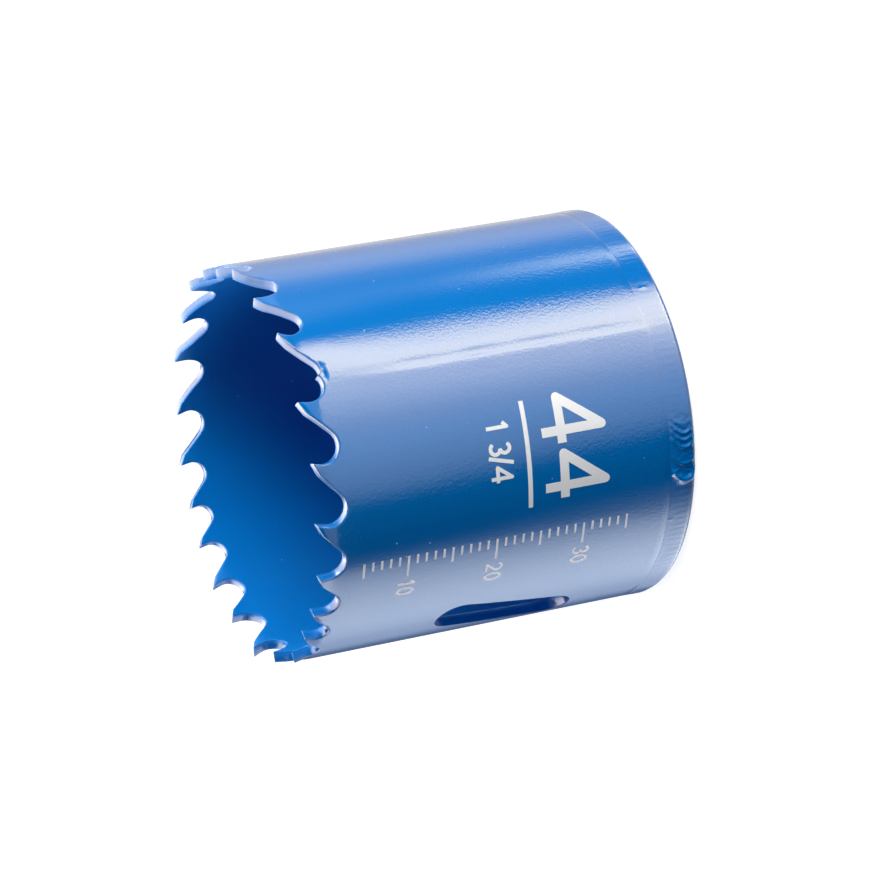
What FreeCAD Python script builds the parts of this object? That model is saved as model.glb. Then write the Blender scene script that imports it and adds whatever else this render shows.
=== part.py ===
import FreeCAD, Part
import math
import os
import Sketcher

# A bi-metal hole saw, standing on its back face with the teeth up. The back face is at z = 0 and
# the axis is Z. The toothed strip is thought of as unrolled: places along it are measured on the
# outside, from the seam, in the direction in which the angle round Z falls.
# The teeth point the way the saw turns, which is the way the angle round Z rises.

Vector = FreeCAD.Vector
Rotation = FreeCAD.Rotation
Placement = FreeCAD.Placement
Line = Part.LineSegment
Constraint = Sketcher.Constraint
UP = Vector(0, 0, 1)

doc = FreeCAD.newDocument("HoleSaw")

# Driving dimensions, in millimetres and degrees
SIZES = [
    ("body_diameter", 42.8, "outside of the rolled band"),
    ("wall", 1.15, "thickness of the strip"),
    ("overall_height", 43.2, "back face to the tooth tips"),
    ("seam_angle", 271.4, "where the strip's ends meet, round Z"),
    ("first_tip", 2.5, "from the seam to the first tooth tip"),
    ("pitch_a", 6.55, "tip to tip, first of the repeating seven"),
    ("pitch_b", 6.6, "second"),
    ("pitch_c", 5.9, "third"),
    ("pitch_d", 5.2, "fourth"),
    ("pitch_e", 4.6, "fifth"),
    ("pitch_f", 5.1, "sixth"),
    ("pitch_g", 6.15, "seventh"),
    ("gullet_per_pitch", 0.5, "depth of a gullet for each millimetre of pitch"),
    ("gullet_limit", 3.2, "deepest gullet"),
    ("round_per_pitch", 0.28, "gullet radius for each millimetre of pitch"),
    ("relief_per_pitch", 0.2, "length of the land behind a tip, per millimetre of pitch"),
    ("relief_angle", 24.0, "fall of that land"),
    ("rake_angle", 12.0, "lean of the cutting face"),
    ("tip_flat", 0.12, "blunt width of a tip"),
    ("set_out", 0.45, "how far the outward teeth lean at the tip"),
    ("set_in", 0.25, "how far the inward teeth lean at the tip"),
    ("set_height", 1.6, "height of the part of a tooth that leans"),
    ("slice_front", 0.18, "tooth blank in front of a tip, per millimetre of pitch"),
    ("slice_back", 0.66, "tooth blank behind a tip, per millimetre of pitch"),
    ("seam_width", 1.5, "width of the weld along the seam"),
    ("seam_rise", 0.12, "height of that weld above the band"),
    ("slot_angle", 180.0, "middle of the first ejection slot, round Z"),
    ("slot_height", 19.85, "middle of the slots above the back face"),
    ("slot_spread", 11.55, "between the centres of a slot's round ends"),
    ("slot_width", 5.4, "width of a slot"),
    ("slot_slant", 12.0, "slant of a slot to the axis"),
    ("slot_count", 2, "slots round the band"),
    ("plate_thickness", 5.0, "base plate"),
    ("plate_edge", 0.3, "chamfer on the plate's inner rim"),
    ("weld_height", 3.0, "how far the rim weld reaches up the outside"),
    ("weld_root", 0.8, "depth of the weld's root above the back face"),
    ("weld_width", 1.9, "width of the rim weld on the back face"),
    ("weld_corner", 1.0, "round of the outer back corner"),
    ("thread_diameter", 15.88, "hole for the arbor's thread, over the thread's crests"),
    ("thread_chamfer", 0.8, "lead-in of that hole"),
    ("pin_circle", 27.0, "diameter through the drive pin holes"),
    ("pin_hole", 6.8, "drive pin hole"),
    ("pin_chamfer", 0.4, "lead-in of the pin holes"),
    ("pin_count", 2, "drive pin holes"),
    ("cutter_overrun", 1.2, "how far cutting shapes pass the metal they cut"),
]

sheet = doc.addObject("Spreadsheet::Sheet", "Sizes")
for row, (alias, amount, note) in enumerate(SIZES, start=1):
    sheet.set("A%d" % row, note)
    sheet.set("B%d" % row, str(amount))
    sheet.setAlias("B%d" % row, alias)
doc.recompute()


def size(alias):
    """Value of one driving dimension."""
    return float(sheet.get(alias))


def value(expression):
    """Number that an expression of the sheet's sizes gives."""
    return float(sheet.evalExpression(expression))


# Expressions that several objects share
RADIUS = "Sizes.body_diameter / 2"
BORE = "(Sizes.body_diameter / 2 - Sizes.wall)"
BEND = "(Sizes.overall_height - Sizes.set_height)"
OUTER_PLANE = "(Sizes.body_diameter / 2 + Sizes.set_out + Sizes.cutter_overrun)"
INNER_PLANE = "(Sizes.body_diameter / 2 - Sizes.wall - Sizes.set_in - Sizes.cutter_overrun)"
DEGREES = "360 / (pi * Sizes.body_diameter)"
PITCHES = ["pitch_a", "pitch_b", "pitch_c", "pitch_d", "pitch_e", "pitch_f", "pitch_g"]
# Set of the tooth in front of each pitch: six bent in turn, with one left straight among them
SETS = ["inward", "outward", "inward", "outward", "straight", "inward", "outward"]
LEANS = {"inward": "(-Sizes.set_in)", "outward": "Sizes.set_out", "straight": "0"}

def bind(target, **links):
    """Bind properties to expressions, with __ standing for a dot in the property's path."""
    for path, expression in links.items():
        target.setExpression(path.replace("__", "."), expression)
    return target


def turn(target, expression):
    """Turn an object round Z by an expression in degrees."""
    target.Placement = Placement(Vector(), Rotation(UP, 1))
    target.setExpression("Placement.Rotation.Angle", "mod(720 + %s; 360)" % expression)
    return target


def cylinder(name, **links):
    return bind(doc.addObject("Part::Cylinder", name), **links)


def cone(name, **links):
    return bind(doc.addObject("Part::Cone", name), **links)


def cut(name, base, tool):
    result = doc.addObject("Part::Cut", name)
    result.Base = base
    result.Tool = tool
    return result


def common(name, base, tool):
    result = doc.addObject("Part::Common", name)
    result.Base = base
    result.Tool = tool
    return result


def fuse(name, shapes):
    result = doc.addObject("Part::MultiFuse", name)
    result.Shapes = shapes
    return result


def copy_of(name, original):
    link = doc.addObject("App::Link", name)
    link.LinkedObject = original
    link.LinkTransform = False
    return link


def named(sketch, constraint, label, expression):
    """Add a constraint with a name, bound to an expression."""
    index = sketch.addConstraint(constraint)
    sketch.renameConstraint(index, label)
    sketch.setExpression("Constraints." + label, expression)


def locate(sketch, edge, end, label, across, up):
    """Fix a point of an edge by two expressions, across and up from the sketch's origin."""
    for kind, axis, expression in (("DistanceX", -2, across), ("DistanceY", -1, up)):
        if expression == "0":
            sketch.addConstraint(Constraint("PointOnObject", edge, end, axis))
        else:
            distance = Constraint(kind, -1, 1, edge, end, value(expression))
            named(sketch, distance, label + kind[-1], expression)


def polygon(sketch, corners):
    """Draw a closed outline through corners, each a pair of expressions, across and up."""
    points = [Vector(value(across), value(up), 0) for across, up in corners]
    for begin, end in zip(points, points[1:] + points[:1]):
        sketch.addGeometry(Line(begin, end))
    for number, (across, up) in enumerate(corners):
        following = (number + 1) % len(corners)
        sketch.addConstraint(Constraint("Coincident", number, 2, following, 1))
        locate(sketch, number, 1, "corner%d" % number, across, up)


def section_sketch(name):
    """Sketch in the plane of X and Z, for a section that turns round Z."""
    sketch = doc.addObject("Sketcher::SketchObject", name)
    sketch.Placement = Placement(Vector(), Rotation(Vector(1, 0, 0), 90))
    return sketch


def facing_sketch(name, plane_expression, height_expression):
    """Sketch that faces along X: across is the way that the angle round Z rises, up is Z."""
    sketch = doc.addObject("Sketcher::SketchObject", name)
    place = Vector(value(plane_expression), 0, value(height_expression))
    sketch.Placement = Placement(place, Rotation(Vector(1, 1, 1), 120))
    return bind(sketch, Placement__Base__x=plane_expression, Placement__Base__z=height_expression)


def revolve(name, sketch):
    """Turn a section sketch round Z."""
    result = doc.addObject("Part::Revolution", name)
    result.Source = sketch
    result.Axis = UP
    result.Angle = 360
    result.Solid = True
    return result


def sector(name, start, span, reach, base, height):
    """Pie slice round Z, from the angle start over span degrees."""
    slice_ = turn(doc.addObject("Part::Cylinder", name), start)
    return bind(slice_, Angle=span, Radius=reach, Height=height, Placement__Base__z=base)


# Layout of the teeth along the strip: (place of the tip, as expression; pitch in front; pitch behind)
def strip_layout():
    """Tips from the seam on, until the strip's other end."""
    length = math.pi * size("body_diameter")
    cycle = " + ".join("Sizes." + pitch for pitch in PITCHES)
    tips = []
    place = size("first_tip")
    while place < length:
        count = len(tips)
        whole, rest = divmod(count, len(PITCHES))
        steps = ["Sizes." + pitch for pitch in PITCHES[:rest]]
        expression = " + ".join(["Sizes.first_tip", "%d * (%s)" % (whole, cycle)] + steps)
        tips.append((expression, PITCHES[(count - 1) % len(PITCHES)], PITCHES[rest]))
        place += size(PITCHES[rest])
    return tips


tips = strip_layout()


# Gullet cutter: a ruled solid between two outlines, so that the cut faces point at the axis as
# they do on a strip that was milled flat and then rolled
def gullet_outline(pitch, scale):
    """Points of a gullet's outline: its own tooth is at -pitch / 2, the tooth in front at pitch / 2."""
    depth = min(size("gullet_per_pitch") * pitch, size("gullet_limit"))
    round_radius = size("round_per_pitch") * pitch * scale
    rake = math.radians(size("rake_angle"))
    relief = math.radians(size("relief_angle"))
    left = -pitch * scale / 2
    right = pitch * scale / 2 - size("tip_flat") * scale
    straight = (depth - round_radius - round_radius * math.sin(rake)) / math.cos(rake)
    centre = Vector(left - straight * math.sin(rake) + round_radius * math.cos(rake), round_radius - depth)
    rake_end = Vector(left - straight * math.sin(rake), -straight * math.cos(rake))
    land = size("relief_per_pitch") * pitch * scale
    land_end = Vector(right - land * math.cos(relief), -land * math.sin(relief))
    reach = land_end - centre
    turned = math.acos(round_radius / reach.Length)
    aim = math.atan2(reach.y, reach.x) - turned
    slope_start = centre + Vector(math.cos(aim), math.sin(aim)) * round_radius
    return left, right, rake_end, centre, round_radius, slope_start, land_end


def gullet_sketch(name, pitch_alias, plane):
    """Outline of a gullet on a plane at a distance from the axis, wider with the distance."""
    scale = "%s / (%s)" % (plane, RADIUS)
    pitch = "Sizes." + pitch_alias
    floor_round = "Sizes.round_per_pitch * %s * %s" % (pitch, scale)
    depth = "min(Sizes.gullet_per_pitch * %s; Sizes.gullet_limit)" % pitch
    outline = gullet_outline(size(pitch_alias), value(scale))
    left, right, rake_end, centre, round_radius, slope_start, land_end = outline
    top = size("cutter_overrun")
    sketch = facing_sketch(name, plane, "Sizes.overall_height")
    corners = [Vector(left, top), Vector(left, 0), rake_end, slope_start, land_end]
    corners += [Vector(right, 0), Vector(right, top)]
    start = math.atan2(rake_end.y - centre.y, rake_end.x - centre.x)
    end = math.atan2(slope_start.y - centre.y, slope_start.x - centre.x)
    circle = Part.Circle(Vector(centre.x, centre.y, 0), UP, round_radius)
    edge = [
        sketch.addGeometry(Line(corners[0], corners[1])),
        sketch.addGeometry(Line(corners[2], corners[1])),
        sketch.addGeometry(Part.ArcOfCircle(circle, start, end)),
        sketch.addGeometry(Line(corners[3], corners[4])),
        sketch.addGeometry(Line(corners[4], corners[5])),
        sketch.addGeometry(Line(corners[5], corners[6])),
        sketch.addGeometry(Line(corners[6], corners[0])),
    ]
    tip_line, rake_line, floor_arc, slope, land, back_line, lid = edge
    sketch.addConstraint([
        Constraint("Coincident", tip_line, 2, rake_line, 2),
        Constraint("Tangent", rake_line, 1, floor_arc, 1),
        Constraint("Tangent", floor_arc, 2, slope, 1),
        Constraint("Coincident", slope, 2, land, 1),
        Constraint("Coincident", land, 2, back_line, 1),
        Constraint("Coincident", back_line, 2, lid, 1),
        Constraint("Coincident", lid, 2, tip_line, 1),
        Constraint("Vertical", tip_line),
        Constraint("Vertical", back_line),
        Constraint("Horizontal", lid),
        Constraint("PointOnObject", rake_line, 2, -1),
        Constraint("PointOnObject", back_line, 1, -1),
    ])
    named(sketch, Constraint("DistanceX", rake_line, 2, -1, 1, -left),
          "half_pitch", "%s * %s / 2" % (pitch, scale))
    named(sketch, Constraint("DistanceX", -1, 1, back_line, 1, right),
          "to_back", "(%s / 2 - Sizes.tip_flat) * %s" % (pitch, scale))
    named(sketch, Constraint("DistanceY", back_line, 1, back_line, 2, top),
          "headroom", "Sizes.cutter_overrun")
    named(sketch, Constraint("Radius", floor_arc, round_radius), "floor_round", floor_round)
    named(sketch, Constraint("DistanceY", floor_arc, 3, -1, 1, -centre.y),
          "floor_depth", "%s - %s" % (depth, floor_round))
    named(sketch, Constraint("Angle", rake_line, math.radians(90 - size("rake_angle"))),
          "rake", "90 deg - Sizes.rake_angle * 1 deg")
    named(sketch, Constraint("Distance", land, (land_end - corners[5]).Length),
          "land_length", "Sizes.relief_per_pitch * %s * %s" % (pitch, scale))
    named(sketch, Constraint("Angle", land, math.radians(size("relief_angle"))),
          "fall", "Sizes.relief_angle * 1 deg")
    return sketch


def gullet_cutter(pitch_alias):
    """Solid that cuts one gullet of the given pitch, lying across the X axis."""
    letter = pitch_alias[-1]
    inner = gullet_sketch("GulletInner_" + letter, pitch_alias, INNER_PLANE)
    outer = gullet_sketch("GulletOuter_" + letter, pitch_alias, OUTER_PLANE)
    loft = doc.addObject("Part::Loft", "Gullet_" + letter)
    loft.Sections = [inner, outer]
    loft.Solid = True
    loft.Ruled = True
    return loft


cutters = {pitch: gullet_cutter(pitch) for pitch in PITCHES}


def place_gullet(name, tip_place, pitch_alias):
    """Turn a copy of a cutter so that its gullet ends at a tip."""
    middle = "Sizes.seam_angle - (%s - Sizes.%s / 2) * %s" % (tip_place, pitch_alias, DEGREES)
    return turn(copy_of(name, cutters[pitch_alias]), middle)


gullets = []
for number, (tip_place, front, behind) in enumerate(tips[1:], start=1):
    gullets.append(place_gullet("Gullet%d" % number, tip_place, front))

# The welded ends of the strip cut across two gullets that don't meet: one leads up to the first
# tooth, the other follows the last one, and each is cut on its own side of the seam only
first_place, first_front, first_behind = tips[0]
last_place, last_front, last_behind = tips[-1]
leading = place_gullet("GulletToFirst", first_place, first_front)
trailing_place = "(%s + Sizes.%s)" % (last_place, last_behind)
trailing = place_gullet("GulletFromLast", trailing_place, last_behind)
CUT_BASE = "(Sizes.overall_height - Sizes.gullet_limit - Sizes.cutter_overrun)"
CUT_HEIGHT = "Sizes.gullet_limit + 2 * Sizes.cutter_overrun"
SEAM_SIDE = "90"  # degrees kept on either side, more than any gullet spans
first_start = "Sizes.seam_angle - %s" % SEAM_SIDE
first_side = sector("FirstSide", first_start, SEAM_SIDE, OUTER_PLANE, CUT_BASE, CUT_HEIGHT)
last_side = sector("LastSide", "Sizes.seam_angle", SEAM_SIDE, OUTER_PLANE, CUT_BASE, CUT_HEIGHT)
gullets.append(common("GulletAfterSeam", leading, first_side))
gullets.append(common("GulletBeforeSeam", trailing, last_side))


# Tooth blanks: slices of a ring that leans outward, leans inward or stands straight
def leaning_ring(name, lean):
    """Ring of the strip's thickness whose top is shifted away from the axis by lean, an expression."""
    outside = cone(name + "Outside", Radius1=RADIUS, Radius2="%s + %s" % (RADIUS, lean),
                   Height="Sizes.set_height", Placement__Base__z=BEND)
    inside = cone(name + "Inside", Radius1=BORE, Radius2="%s + %s" % (BORE, lean),
                  Height="Sizes.set_height", Placement__Base__z=BEND)
    return cut(name, outside, inside)


def tooth_slice(number):
    """Pie slice that holds one tooth, from inside the gullet in front of it to inside the next."""
    tip_place, front, behind = tips[number]
    back = "Sizes.slice_back * Sizes.%s" % behind
    span = "(Sizes.slice_front * Sizes.%s + %s) * %s" % (front, back, DEGREES)
    start = "Sizes.seam_angle - (%s + %s) * %s" % (tip_place, back, DEGREES)
    return sector("Tooth%d" % number, start, span, OUTER_PLANE, BEND, "Sizes.set_height")


tooth_blanks = []
for kind, lean in LEANS.items():
    members = [number for number in range(len(tips)) if SETS[number % len(SETS)] == kind]
    slices = fuse(kind.title() + "Slices", [tooth_slice(number) for number in members])
    ring = leaning_ring(kind.title() + "Ring", lean)
    tooth_blanks.append(common(kind.title() + "Teeth", ring, slices))

# Rolled band below the teeth, bevelled at its foot for the weld to the base plate
band_section = section_sketch("BandSection")
polygon(band_section, [
    (RADIUS, "Sizes.weld_height"),
    (RADIUS, BEND),
    (BORE, BEND),
    (BORE, "Sizes.weld_root"),
])
rolled_band = revolve("RolledBand", band_section)

# Weld along the seam, a low rounded ridge: an arc over its width that rises by seam_rise
RIDGE_ROUND = "((Sizes.seam_width ^ 2 / 4 + Sizes.seam_rise ^ 2) / (2 * Sizes.seam_rise))"
ridge_rod = cylinder(
    "RidgeRod", Radius=RIDGE_ROUND, Height="%s - Sizes.weld_height" % BEND,
    Placement__Base__x="(%s + Sizes.seam_rise - %s) * cos(Sizes.seam_angle * 1 deg)" % (RADIUS, RIDGE_ROUND),
    Placement__Base__y="(%s + Sizes.seam_rise - %s) * sin(Sizes.seam_angle * 1 deg)" % (RADIUS, RIDGE_ROUND),
    Placement__Base__z="Sizes.weld_height")
ridge_core = cylinder("RidgeCore", Radius="%s - Sizes.wall / 2" % RADIUS, Height="Sizes.overall_height")
seam_ridge = cut("SeamRidge", ridge_rod, ridge_core)

# Ejection slots: slanted, round-ended, the same distance apart round the band
ACROSS = "Sizes.slot_spread / 2 * sin(Sizes.slot_slant * 1 deg)"
RISE = "Sizes.slot_spread / 2 * cos(Sizes.slot_slant * 1 deg)"
slot_outline = facing_sketch("SlotOutline", "%s / 2" % BORE, "Sizes.slot_height")
slot_round = size("slot_width") / 2
slant = math.radians(size("slot_slant"))
upper_centre = Vector(value(ACROSS), value(RISE), 0)
sideways = Vector(math.cos(slant), -math.sin(slant), 0) * slot_round
upper_arc = slot_outline.addGeometry(
    Part.ArcOfCircle(Part.Circle(upper_centre, UP, slot_round), -slant, math.pi - slant))
lower_arc = slot_outline.addGeometry(
    Part.ArcOfCircle(Part.Circle(-upper_centre, UP, slot_round), math.pi - slant, 2 * math.pi - slant))
left_side = slot_outline.addGeometry(Line(upper_centre - sideways, -upper_centre - sideways))
right_side = slot_outline.addGeometry(Line(-upper_centre + sideways, upper_centre + sideways))
slot_outline.addConstraint([
    Constraint("Tangent", upper_arc, 2, left_side, 1),
    Constraint("Tangent", left_side, 2, lower_arc, 1),
    Constraint("Tangent", lower_arc, 2, right_side, 1),
    Constraint("Tangent", right_side, 2, upper_arc, 1),
])
locate(slot_outline, upper_arc, 3, "upper", ACROSS, RISE)
locate(slot_outline, lower_arc, 3, "lower", "-(%s)" % ACROSS, "-(%s)" % RISE)
named(slot_outline, Constraint("Radius", upper_arc, slot_round), "slot_round", "Sizes.slot_width / 2")
slot_cutter = doc.addObject("Part::Extrusion", "SlotCutter")
slot_cutter.Base = slot_outline
slot_cutter.DirMode = "Normal"
slot_cutter.Solid = True
bind(slot_cutter, LengthFwd="%s - %s / 2" % (OUTER_PLANE, BORE))
slots = []
for number in range(int(size("slot_count"))):
    angle = "Sizes.slot_angle + %d * 360 / Sizes.slot_count" % number
    slots.append(turn(copy_of("Slot%d" % (number + 1), slot_cutter), angle))

band_blank = fuse("BandBlank", [rolled_band, seam_ridge] + tooth_blanks)
band_cuts = fuse("BandCuts", gullets + slots)
toothed_band = cut("ToothedBand", band_blank, band_cuts)
toothed_band.Refine = True

# Weld round the back rim: it fills the band's bevel and the base plate's chamfer
weld_section = section_sketch("WeldSection")
weld_corners = [
    (RADIUS, "Sizes.weld_corner"),
    (RADIUS, "Sizes.weld_height"),
    (BORE, "Sizes.weld_root"),
    ("%s - Sizes.weld_width" % RADIUS, "0"),
    ("%s - Sizes.weld_corner" % RADIUS, "0"),
]
weld_points = [Vector(value(across), value(up), 0) for across, up in weld_corners]
for begin, end in zip(weld_points, weld_points[1:]):
    weld_section.addGeometry(Line(begin, end))
for number in range(len(weld_corners) - 1):
    locate(weld_section, number, 1, "corner%d" % number, *weld_corners[number])
    if number > 0:
        weld_section.addConstraint(Constraint("Coincident", number - 1, 2, number, 1))
back_line = len(weld_corners) - 2
locate(weld_section, back_line, 2, "back", *weld_corners[-1])
round_centre = Vector(weld_points[-1].x, weld_points[0].y, 0)
weld_round = Part.Circle(round_centre, UP, size("weld_corner"))
weld_arc = weld_section.addGeometry(Part.ArcOfCircle(weld_round, -math.pi / 2, 0))
weld_section.addConstraint(Constraint("Coincident", weld_arc, 1, back_line, 2))
weld_section.addConstraint(Constraint("Coincident", weld_arc, 2, 0, 1))
named(weld_section, Constraint("Radius", weld_arc, size("weld_corner")), "corner_round", "Sizes.weld_corner")
rim_weld = revolve("RimWeld", weld_section)

# Base plate: a thick turned disc inside the band's foot, with the arbor's hole and drive pin holes
base_plate = doc.addObject("PartDesign::Body", "BasePlate")
origin_parts = {feature.Role: feature for feature in base_plate.Origin.OriginFeatures}


def plate_sketch(name):
    """Sketch of the base plate's body in the plane of X and Z."""
    sketch = base_plate.newObject("Sketcher::SketchObject", name)
    sketch.AttachmentSupport = [(origin_parts["XZ_Plane"], "")]
    sketch.MapMode = "FlatFace"
    return sketch


HOLE = "Sizes.thread_diameter / 2"
TOP = "Sizes.plate_thickness"
disc_section = plate_sketch("DiscSection")
polygon(disc_section, [
    ("%s + Sizes.thread_chamfer" % HOLE, "0"),
    ("%s - Sizes.weld_width" % RADIUS, "0"),
    (BORE, "Sizes.weld_root"),
    (BORE, "%s - Sizes.plate_edge" % TOP),
    ("%s - Sizes.plate_edge" % BORE, TOP),
    ("%s + Sizes.thread_chamfer" % HOLE, TOP),
    (HOLE, "%s - Sizes.thread_chamfer" % TOP),
    (HOLE, "Sizes.thread_chamfer"),
])
disc = base_plate.newObject("PartDesign::Revolution", "Disc")
disc.Profile = disc_section
disc.ReferenceAxis = (disc_section, ["V_Axis"])
disc.Angle = 360

PIN = "Sizes.pin_hole / 2"
pin_section = plate_sketch("PinSection")
bind(pin_section, AttachmentOffset__Base__x="Sizes.pin_circle / 2")
polygon(pin_section, [
    ("0", "0"),
    ("%s + Sizes.pin_chamfer" % PIN, "0"),
    (PIN, "Sizes.pin_chamfer"),
    (PIN, "%s - Sizes.pin_chamfer" % TOP),
    ("%s + Sizes.pin_chamfer" % PIN, TOP),
    ("0", TOP),
])
pin_hole = base_plate.newObject("PartDesign::Groove", "PinHole")
pin_hole.Profile = pin_section
pin_hole.ReferenceAxis = (pin_section, ["V_Axis"])
pin_hole.Angle = 360
pin_holes = base_plate.newObject("PartDesign::PolarPattern", "PinHoles")
pin_holes.Originals = [pin_hole]
pin_holes.Axis = (origin_parts["Z_Axis"], [""])
pin_holes.Angle = 360
bind(pin_holes, Occurrences="Sizes.pin_count")
base_plate.Tip = pin_holes

toothed_band.Label = "toothed_band"
rim_weld.Label = "rim_weld"
base_plate.Label = "base_plate"
doc.recompute()

for item in doc.Objects:
    if "Invalid" in item.State or "Error" in item.State:
        raise RuntimeError("%s can't be computed: %s" % (item.Name, item.State))
pieces = [toothed_band, rim_weld, base_plate]
for piece in pieces:
    if piece.Shape.isNull() or not piece.Shape.isValid() or len(piece.Shape.Solids) != 1:
        raise RuntimeError("%s isn't one valid solid" % piece.Label)

os.makedirs("parts", exist_ok=True)
for piece in pieces:
    piece.Shape.exportStep("parts/%s.step" % piece.Label)
    box = piece.Shape.BoundBox
    print("%s: %.1f mm3, z %.2f to %.2f" % (piece.Label, piece.Shape.Volume, box.ZMin, box.ZMax))
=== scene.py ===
import math

import bmesh
import bpy
from mathutils import Matrix, Vector, noise
from mathutils.geometry import delaunay_2d_cdt


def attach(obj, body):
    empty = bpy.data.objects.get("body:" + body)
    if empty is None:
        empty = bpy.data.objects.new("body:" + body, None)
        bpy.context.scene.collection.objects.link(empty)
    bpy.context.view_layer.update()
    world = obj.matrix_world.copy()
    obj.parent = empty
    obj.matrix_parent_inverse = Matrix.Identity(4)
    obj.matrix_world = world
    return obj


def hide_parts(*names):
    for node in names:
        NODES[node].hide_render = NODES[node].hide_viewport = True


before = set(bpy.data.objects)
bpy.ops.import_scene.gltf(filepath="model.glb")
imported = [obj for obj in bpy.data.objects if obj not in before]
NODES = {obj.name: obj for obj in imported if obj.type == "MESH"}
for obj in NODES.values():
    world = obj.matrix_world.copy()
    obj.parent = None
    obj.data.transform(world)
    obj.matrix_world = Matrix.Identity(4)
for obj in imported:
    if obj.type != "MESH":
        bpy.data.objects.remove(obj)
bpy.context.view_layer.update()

MM = 0.001

# The wall's outer radius and the height of the tips, in mm.
RADIUS = 21.4
TOP = 43.2
# Angles round the wall are counted from the top of the photographed side, clockwise.
ANGLE_OFFSET = 23.9


def azimuth(theta):
    """The polar angle in radians of an angle round the wall."""
    return math.radians(-theta - ANGLE_OFFSET)


def theta_at(side):
    """The angle round the wall of a polar angle in radians."""
    return (-math.degrees(side) - ANGLE_OFFSET) % 360


def smooth(t):
    """Eases from 0 to 1."""
    t = min(1.0, max(0.0, t))
    return t * t * (3 - 2 * t)


def add_object(name, data):
    """A new object in the scene."""
    made = bpy.data.objects.new(name, data)
    bpy.context.scene.collection.objects.link(made)
    return made


# Camera
CAMERA_PLACE = Vector((-125.70, -343.19, 167.88)) * MM
CAMERA_FORWARD = Vector((0.318284, 0.871527, -0.373009))
CAMERA_RIGHT = Vector((-0.292186, -0.284129, -0.913180))
SENSOR_MM = 36.0
LENS_MM = 150.41


def make_camera():
    data = bpy.data.cameras.new("camera")
    data.sensor_width = SENSOR_MM
    data.lens = LENS_MM
    data.clip_start = 0.01
    data.clip_end = 20.0
    camera = add_object("camera", data)
    forward = CAMERA_FORWARD.normalized()
    right = (CAMERA_RIGHT - forward * CAMERA_RIGHT.dot(forward)).normalized()
    up = right.cross(forward)
    turn = Matrix((right, up, -forward)).transposed()
    camera.matrix_world = Matrix.Translation(CAMERA_PLACE) @ turn.to_4x4()
    bpy.context.scene.camera = camera


# Materials
class Nodes:
    """A short hand for the node tree of a material or a world."""

    def __init__(self, owner, output="OutputMaterial"):
        self.owner = owner
        self.owner.use_nodes = True
        self.tree = owner.node_tree
        self.tree.nodes.clear()
        self.out = self.add(output)

    def add(self, kind, settings=None, **inputs):
        """A node with its settings, and its inputs by label or by n and their number."""
        node = self.tree.nodes.new("ShaderNode" + kind)
        for key, value in (settings or {}).items():
            setattr(node, key, value)
        for key, value in inputs.items():
            self.put(node, key.replace("_", " "), value)
        return node

    def put(self, node, key, value):
        """Gives an input a value, or links it to another node's output."""
        socket = node.inputs[int(key[1:])] if key[0] == "n" and key[1:].isdigit() else node.inputs[key]
        if isinstance(value, bpy.types.NodeSocket):
            self.tree.links.new(value, socket)
        else:
            socket.default_value = value

    def math(self, operation, a, b=0.0, clamp=False):
        """The result of one operation on two values."""
        settings = {"operation": operation, "use_clamp": clamp}
        return self.add("Math", settings, n0=a, n1=b).outputs[0]

    def mark(self, name, output="Fac"):
        """A value that the mesh holds for each of its points."""
        return self.add("Attribute", {"attribute_name": name}).outputs[output]

    def seen(self):
        """1 where a thing is seen, straight, in gloss or through glass, and 0 where it lights others."""
        path = self.add("LightPath")
        seen = self.math("ADD", path.outputs["Is Camera Ray"], path.outputs["Is Glossy Ray"])
        return self.math("ADD", seen, path.outputs["Is Transmission Ray"], clamp=True)

    def finish(self, shader):
        """Links the last shader to the output."""
        self.tree.links.new(shader.outputs[0], self.out.inputs[0])
        return self.owner


ENAMEL_BLUE = (0.0, 0.155, 0.5, 1.0)
# A paler blue that paints the cut faces' reflection.
CUT_REFLECTION_BLUE = (0.16, 0.34, 0.66, 1.0)
# A paler blue that paints the dust nibs' glint.
NIB_GLINT_BLUE = (0.35, 0.55, 0.85, 1.0)
MICRON = 0.001 * MM
# Each layer of unevenness in the enamel: how many to the metre, and how high.
GRAIN, GRAIN_HEIGHT = 3600.0, 21 * MICRON
# The grain is this many times as high at the foot, and falls by so much to the metre up the wall.
GRAIN_FOOT, GRAIN_FALL = 1.25, 17.0
FILM, FILM_HEIGHT = 900.0, 4 * MICRON
WAVE, WAVE_HEIGHT = 150.0, 12 * MICRON
NIB_CELLS, NIB_SIZE, NIB_HEIGHT = 430.0, 0.05, 30 * MICRON
# How much paler the colour is on a cut face, a painted reflection, and on a dust nib, a painted glint.
CUT_REFLECTION_PALE, NIB_GLINT_PALE = 0.05, 0.7
# The wall's roughness, and what a cut face and the inside of the cup add to it.
ROUGHNESS, CUT_ROUGH, INSIDE_ROUGH = 0.1, 0.06, 0.36


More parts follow.
